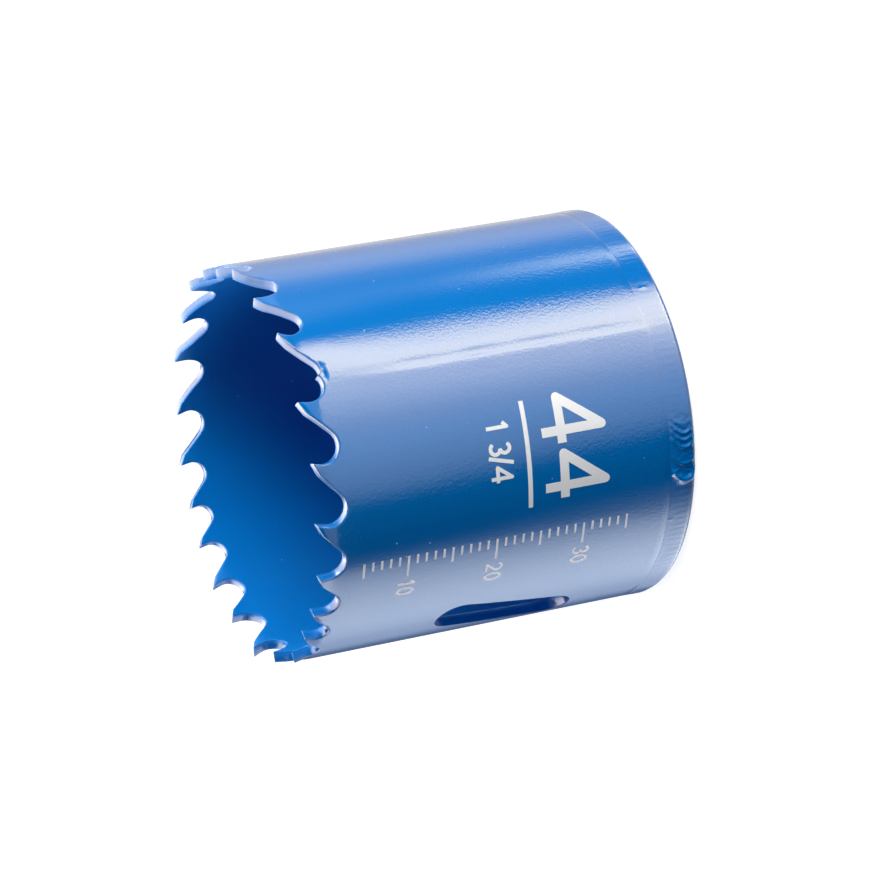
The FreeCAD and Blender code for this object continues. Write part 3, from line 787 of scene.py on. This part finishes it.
def build_band():
    """The band: its rounded cut edges, the strip's two faces and the bevelled foot."""
    loops = [(top_outline(), AROUND)] + [(slot_outline(angle), 0.0) for angle in SLOT_ANGLES]
    strip = Strip(loops)
    toothed = set(strip.loop_ids[0])
    rows = edge_rows()
    last = len(rows) - 1
    verts, index, cut, inside, faces = [], {}, [], [], []

    def vertex(row, source, a, z):
        """A point of the outer face (row 0), of the inner one (the last row) or of a cut edge."""
        if (row, source) not in index:
            index[row, source] = len(verts)
            verts.append(place(a, z, rows[row][1]))
            # The cut mark: the enamel is rougher there, and paler as a painted reflection.
            cut.append(1.0 if 0 < row < last and source in toothed else 0.0)
            inside.append(1.0 if rows[row][1] > WALL - EDGE_ROUND else 0.0)
        return index[row, source]

    for ids, (loop, period) in zip(strip.loop_ids, loops):
        lines = [inset(loop, off, period) for off, _ in rows]
        for row in range(last):
            for i in range(len(loop)):
                after = (i + 1) % len(loop)
                corners = ((row, i), (row + 1, i), (row + 1, after), (row, after))
                faces.append([vertex(r, ids[k], *lines[r][k]) for r, k in corners])
    solid = strip.solid_faces()
    for row in (0, last):
        for face in solid:
            corners = [vertex(row, strip.source(v), *strip.points[v]) for v in face]
            if len(set(corners)) == 3:
                faces.append(corners[::-1] if row else corners)
    feet = strip.foot_ids + strip.foot_ids[:1]
    for left, right in zip(feet, feet[1:]):
        corners = ((0, left), (0, right), (last, right), (last, left))
        faces.append([vertex(row, i, *strip.flat[i]) for row, i in corners])
    return finish_mesh("painted_band", verts, faces, cut=cut, inside=inside)


def smooth_mesh(mesh, shape):
    """Fills a mesh from a shape, with smooth faces and sharp corners."""
    bmesh.ops.recalc_face_normals(shape, faces=shape.faces)
    for edge in shape.edges:
        edge.smooth = not (edge.is_manifold and edge.calc_face_angle(0) > SOFT)
    for face in shape.faces:
        face.smooth = True
    shape.to_mesh(mesh)
    shape.free()
    return mesh


def finish_mesh(name, verts, faces, **marks):
    """A mesh from its points and faces, with the marks that the enamel reads."""
    mesh = bpy.data.meshes.new(name)
    mesh.from_pydata(verts, [], faces)
    for mark, values in marks.items():
        mesh.attributes.new(mark, "FLOAT", "POINT").data.foreach_set("value", values)
    shape = bmesh.new()
    shape.from_mesh(mesh)
    return smooth_mesh(mesh, shape)


def ring_mesh(name, section, columns):
    """A closed ring from a section that changes with the angle."""
    verts, faces = [], []
    for i in range(columns):
        side = 2 * math.pi * i / columns
        line = section(side)
        verts += [(r * math.cos(side) * MM, r * math.sin(side) * MM, z * MM) for r, z in line]
    n = len(line)
    for i in range(columns):
        for j in range(n):
            a, b = i * n, (i + 1) % columns * n
            faces.append((a + j, b + j, b + (j + 1) % n, a + (j + 1) % n))
    return finish_mesh(name, verts, faces)


# The weld's section: its back corner's radius, how far it reaches in, its root on the plate, and its heel.
WELD_CORNER, WELD_WIDTH, WELD_ROOT = 1.0, 1.9, 0.8
HEEL_OUT, HEEL_IN, HEEL_HEIGHT = 0.3, 0.05, 0.04
BORE = RADIUS - WALL
# Steps of the section up the wall and round the corner, and where the corner begins.
WELD_STEPS, CORNER_STEPS, CORNER_SHARE = 12, 8, 0.6
# The weld's toe: its height over the foot, how that wavers, its edge, and how it meets the wall.
TOE_HEIGHT, TOE_WAVER, TOE_WAVES, TOE_SEED = 0.35, 0.12, 6, 5.0
TOE_EDGE, TOE_SUNK, TOE_RISE = 0.12, 0.03, 0.004
# The weld's skin: how fine its noise is, its swell, its unevenness, and its ripples and their number.
WELD_NOISE, WELD_ACROSS = 9, 0.12
WELD_SWELL, WELD_UNEVEN = 0.02, 0.05
RIPPLE_HEIGHT, RIPPLE_COUNT = 0.006, 2.9
RIPPLE_STRAY, STRAY_NOISE = 3, 0.7
# Rough stretches of the weld: angle, half width in degrees and share.
WELD_ROUGH = ((110, 5, 1.0), (98, 6, 0.6))
ROUGH_HEIGHT, ROUGH_NOISE = 0.09, 6
# How fast the swell, the rough skin and the crescents rise from the band, and these fall to the plate.
SWELL_RISE, ROUGH_RISE, CRESCENT_RISE, CRESCENT_FALL = 2, 3, 8, 4
# Where the weld run starts and stops: angle round the wall, height and half width in degrees.
WELD_CRESCENTS = (
    (96.6, 0.07, 0.7), (99.0, 0.13, 0.6), (101.0, 0.13, 0.55), (103.2, 0.15, 0.6),
    (108.0, 0.13, 0.55), (112.8, 0.36, 1.15),
)
# Drops of spatter: angle, place across, half sizes and height.
WELD_DROPS = (
    (55.0, 0.33, 0.5, 0.08, 0.14),
    (105.4, 0.4, 0.35, 0.06, 0.09),
    (106.3, 0.62, 0.35, 0.06, 0.09),
    (109.6, 0.2, 0.35, 0.06, 0.09),
    (110.2, 0.55, 0.3, 0.05, 0.08),
    (125.5, 0.12, 0.4, 0.06, 0.07),
)
# A crescent's ends trail behind its middle by this many degrees.
CRESCENT_BEND, CRESCENT_MIDDLE = 5.0, 0.45


def weld_rise(theta, along):
    """Height of the weld's skin at an angle, and a place from the band (0) to the plate (1)."""
    turn = math.radians(theta)
    here = Vector((math.cos(turn), math.sin(turn), WELD_ACROSS * along)) * WELD_NOISE
    middle = math.sin(math.pi * along)
    rise = (WELD_SWELL + WELD_UNEVEN * noise.noise(here)) * smooth(SWELL_RISE * along) * middle
    stray = RIPPLE_STRAY * noise.noise(here * STRAY_NOISE)
    rise += RIPPLE_HEIGHT * math.sin(theta * RIPPLE_COUNT + stray) * middle
    kept = smooth(CRESCENT_RISE * along) * smooth(CRESCENT_FALL * (1 - along))
    for at, high, wide in WELD_CRESCENTS:
        bend = CRESCENT_BEND * (2 * (along - CRESCENT_MIDDLE)) ** 2
        off = (theta - at + bend + 180) % 360 - 180
        rise += high * math.exp(-(off / wide) ** 2) * kept
    for at, across, wide, tall, high in WELD_DROPS:
        rise += high * math.exp(-((theta - at) / wide) ** 2 - ((along - across) / tall) ** 2)
    rough = sum(share * math.exp(-((theta - at) / wide) ** 2) for at, wide, share in WELD_ROUGH)
    return rise + ROUGH_HEIGHT * rough * noise.noise(here * ROUGH_NOISE) * smooth(ROUGH_RISE * along)


def weld_section(side):
    """The weld's section at a polar angle: from the band's face round the back corner to the plate."""
    theta = theta_at(side)
    waver = noise.noise(Vector((math.cos(side), math.sin(side), TOE_SEED)) * TOE_WAVES)
    toe = FOOT + TOE_HEIGHT + TOE_WAVER * waver
    edge = toe - TOE_EDGE
    line = [(RADIUS - TOE_SUNK, toe), (RADIUS + TOE_RISE, edge)]
    for i in range(1, WELD_STEPS + 1):
        z = edge - (edge - WELD_CORNER) * i / WELD_STEPS
        line.append((RADIUS + weld_rise(theta, CORNER_SHARE * i / WELD_STEPS), z))
    for i in range(1, CORNER_STEPS + 1):
        turn = math.pi / 2 * i / CORNER_STEPS
        rise = weld_rise(theta, CORNER_SHARE + (1 - CORNER_SHARE) * i / CORNER_STEPS) * math.cos(turn)
        r = (WELD_CORNER + rise) * math.cos(turn)
        line.append((RADIUS - WELD_CORNER + r, WELD_CORNER * (1 - math.sin(turn))))
    inner = RADIUS - WELD_WIDTH
    return line + [(inner + HEEL_OUT, 0.0), (inner - HEEL_IN, HEEL_HEIGHT), (BORE, WELD_ROOT)]


# The arbor's thread: the hole's radius, the pitch, the depth, and the heights between which it runs.
THREAD_RADIUS = 7.94
THREAD_PITCH = 25.4 / 18
THREAD_DEPTH = 0.78
THREAD_LOW, THREAD_HIGH = 0.8, 4.2
THREAD_STEPS = 40
# The slope of the thread's sides, its flats and its run-out, and how it sits in the plate's hole.
THREAD_SLOPE, THREAD_FLAT, THREAD_RUNOUT = 1.25, 0.1, 0.5
THREAD_PROUD, THREAD_SUNK, THREAD_CHAMFER = 0.02, 0.3, 0.1


def thread_section(side):
    """The arbor's thread in the plate, one turn to the pitch."""
    line = []
    for i in range(THREAD_STEPS + 1):
        z = THREAD_LOW + (THREAD_HIGH - THREAD_LOW) * i / THREAD_STEPS
        turn = (z / THREAD_PITCH - side / (2 * math.pi)) % 1
        crest = min(1.0, max(0.0, THREAD_SLOPE * (1 - abs(2 * turn - 1)) - THREAD_FLAT))
        ends = smooth((z - THREAD_LOW) / THREAD_RUNOUT) * smooth((THREAD_HIGH - z) / THREAD_RUNOUT)
        line.append((THREAD_RADIUS - THREAD_PROUD - THREAD_DEPTH * crest * ends, z))
    back = THREAD_RADIUS + THREAD_SUNK
    return line + [(back, THREAD_HIGH - THREAD_CHAMFER), (back, THREAD_LOW + THREAD_CHAMFER)]


# The size numerals and the depth scale on the wall. X runs round the wall, and Y towards the back.
PRINT_START = 82.0
PRINT_TALL, PRINT_FOOT, PRINT_STROKE = 7.4, 17.8, 1.0
# The rule between the numerals: its length, and its edges past the large ones' feet.
RULE_LONG, RULE_NEAR, RULE_FAR = 11.4, 1.5, 2.0
SMALL_TALL, SMALL_FOOT, SMALL_STROKE = 2.5, 23.9, 0.4
# The small numerals, each with its place along the print.
SMALL_NUMERALS = (("1", 1.6), ("3/4", 3.8))
# The depth scale: its place, its lines' half width and their lengths at each 10, 5 and 1 mm.
SCALE_PLACE, SCALE_DEPTHS = 14.4, range(5, 36)
TICK_HALF, TICK_TENS, TICK_FIVES, TICK_ONES = 0.12, 2.6, 1.8, 1.1
FIGURE_TALL, FIGURE_GAP, FIGURE_STROKE = 2.0, 0.5, 0.28
# The ink stands out and is sunk in by so much, and is cut into strips this wide to bend round the wall.
INK_RISE, INK_SINK, INK_CUT = 0.015, 0.02, 0.6


def arc(x, y, wide, tall, first, last, steps=14):
    """Points on an arc from one angle to another, in degrees."""
    turns = [math.radians(first + (last - first) * i / steps) for i in range(steps + 1)]
    return [(x + wide * math.cos(turn), y + tall * math.sin(turn)) for turn in turns]


# Middle lines of the numerals' strokes, one high.
STROKES = {
    "0": [arc(0.3, 0.5, 0.22, 0.43, 0, 360, 28)],
    "1": [[(0.08, 0.74), (0.27, 0.93), (0.27, 0.0)]],
    "2": [arc(0.3, 0.69, 0.22, 0.24, 165, -35) + [(0.07, 0.07), (0.56, 0.07)]],
    "3": [arc(0.27, 0.715, 0.2, 0.215, 150, -90), arc(0.27, 0.285, 0.23, 0.215, 90, -150)],
    "4": [[(0.5, 0.0), (0.5, 0.93), (0.03, 0.3), (0.68, 0.3)]],
    "/": [[(0.0, -0.05), (0.3, 1.05)]],
}
# From one numeral to the next, for a height of one.
ADVANCE = {"0": 0.66, "1": 0.5, "2": 0.68, "3": 0.62, "4": 0.8, "/": 0.4}
# A round face has twelve points: the first and last angle and the steps between them.
DISC = (0, 330, 11)


def numerals(body, tall, x, y, wide):
    """A number whose lower left corner is at x, y: a four-sided face for a run, a round one for a bend."""
    faces = []
    half = wide / 2
    for mark in body:
        for line in STROKES[mark]:
            line = [(x + px * tall, y + py * tall) for px, py in line]
            for i, ((ax, ay), (bx, by)) in enumerate(zip(line, line[1:])):
                long = math.hypot(bx - ax, by - ay)
                dx, dy = (bx - ax) / long * half, (by - ay) / long * half
                ends = ((ax, ay, 1), (bx, by, 1), (bx, by, -1), (ax, ay, -1))
                faces.append([(ex + sign * dy, ey - sign * dx) for ex, ey, sign in ends])
                if i:
                    faces.append(arc(ax, ay, half, half, *DISC))
        x += ADVANCE[mark] * tall
    return faces


def bar(x0, y0, x1, y1):
    """A rectangle of ink."""
    return [[(x0, y0), (x1, y0), (x1, y1), (x0, y1)]]


def print_faces():
    """Every stroke of the print, as flat faces that may overlap."""
    faces = numerals("44", PRINT_TALL, 0, -PRINT_FOOT, PRINT_STROKE)
    faces += bar(0, -PRINT_FOOT - RULE_FAR, RULE_LONG, -PRINT_FOOT - RULE_NEAR)
    for body, x in SMALL_NUMERALS:
        faces += numerals(body, SMALL_TALL, x, -SMALL_FOOT, SMALL_STROKE)
    for depth in SCALE_DEPTHS:
        long = TICK_TENS if depth % 10 == 0 else TICK_FIVES if depth % 5 == 0 else TICK_ONES
        y = depth - TOP
        faces += bar(SCALE_PLACE, y - TICK_HALF, SCALE_PLACE + long, y + TICK_HALF)
        if depth % 10 == 0:
            x = SCALE_PLACE + long + FIGURE_GAP
            faces += numerals(str(depth), FIGURE_TALL, x, y - FIGURE_TALL / 2, FIGURE_STROKE)
    return faces


def print_mesh():
    """The print as a fine skin of ink on the wall, its strokes joined where they overlap."""
    points, faces = [], []
    for face in print_faces():
        faces.append(list(range(len(points), len(points) + len(face))))
        points += [Vector(point) for point in face]
    points, _, faces, _, _, sources = delaunay_2d_cdt(points, [], faces, 1, 1e-5)
    faces = [face for face, source in zip(faces, sources) if source]
    shape = bmesh.new()
    made = [shape.verts.new((x, y, 0)) for x, y in points]
    for face in faces:
        shape.faces.new([made[i] for i in face])
    wide = max(v.co.x for v in shape.verts)
    for i in range(1, int(wide / INK_CUT) + 1):
        geometry = list(shape.verts) + list(shape.edges) + list(shape.faces)
        bmesh.ops.bisect_plane(shape, geom=geometry, plane_co=(i * INK_CUT, 0, 0), plane_no=(1, 0, 0))
    sunk = bmesh.ops.extrude_face_region(shape, geom=list(shape.faces), use_keep_orig=True)["geom"]
    lower = {v for v in sunk if isinstance(v, bmesh.types.BMVert)}
    for v in shape.verts:
        side = azimuth(PRINT_START + math.degrees(v.co.x / RADIUS))
        r = RADIUS - INK_SINK if v in lower else RADIUS + INK_RISE
        v.co = Vector((r * math.cos(side), r * math.sin(side), -v.co.y)) * MM
    return smooth_mesh(bpy.data.meshes.new("size_print"), shape)


# How finely the two rings are divided.
WELD_COLUMNS, THREAD_COLUMNS = 1800, 144

blue = enamel()
band = piece("painted_band", build_band(), blue, "toothed_band")
weld = piece("painted_weld", ring_mesh("painted_weld", weld_section, WELD_COLUMNS), blue, "rim_weld")
piece("arbor_thread", ring_mesh("arbor_thread", thread_section, THREAD_COLUMNS), blue)
piece("size_print", print_mesh(), ink())
plate = NODES["base_plate"]
plate.data.materials.clear()
plate.data.materials.append(blue)

bpy.context.scene.view_settings.view_transform = "Standard"
